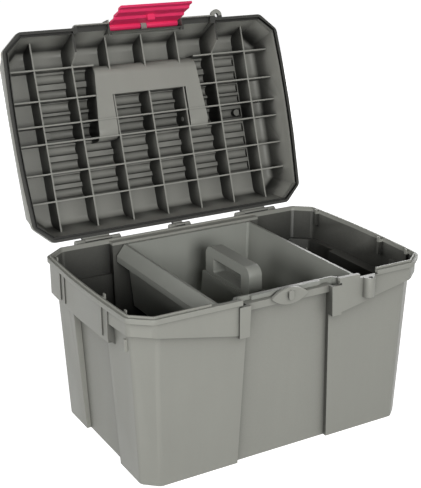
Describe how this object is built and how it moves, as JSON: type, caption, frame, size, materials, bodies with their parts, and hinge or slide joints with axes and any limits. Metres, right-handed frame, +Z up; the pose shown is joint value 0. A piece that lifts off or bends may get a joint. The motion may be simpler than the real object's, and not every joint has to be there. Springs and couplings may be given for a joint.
{
  "type": "tool storage box",
  "caption": "Moulded carry box for tools with a ribbed hinged lid, front latch flap, folding carry handle, padlock ears and a lift-out tray with its own handle.",
  "frame": {"origin": "centre of the tub's flat underside", "axes": "+X along the front to the right, +Y to the back, +Z up; the lid is stored open"},
  "size_m": [0.4094, 0.4346, 0.4961],
  "materials": {
    "box_plastic": "fine moulded grain",
    "tray_plastic": "fine moulded grain, slightly darker",
    "latch_plastic": "satin crimson",
    "pin_plastic": "smooth moulded"
  },
  "bodies": {
    "tub": {"tub": "box_plastic", "hinge_pin_left": "pin_plastic", "hinge_pin_centre": "pin_plastic", "hinge_pin_right": "pin_plastic"},
    "lid": {"lid": "box_plastic", "latch_pin": "pin_plastic", "handle_pin_left": "pin_plastic", "handle_pin_right": "pin_plastic"},
    "latch": {"latch": "latch_plastic"},
    "carry_handle": {"carry_handle": "box_plastic"},
    "tray": {"tray": "tray_plastic"}
  },
  "joints": [
    {"name": "lid_hinge", "type": "hinge", "parent": "tub", "child": "lid", "pos_m": [0, 0.1387, 0.211], "axis": [-1, 0, 0], "range_deg": [-107.7, 0]},
    {"name": "latch_pivot", "type": "hinge", "parent": "lid", "child": "latch", "pos_m": [0, 0.23537, 0.46325], "axis": [-1, 0, 0], "range_deg": [-8, 40]},
    {"name": "handle_pivot", "type": "hinge", "parent": "lid", "child": "carry_handle", "pos_m": [0, 0.22057, 0.33466], "axis": [-1, 0, 0], "range_deg": [-90, 0]},
    {"name": "tray_lift", "type": "slide", "parent": "tub", "child": "tray", "axis": [0, 0, 1], "range_m": [0, 0.015]}
  ]
}
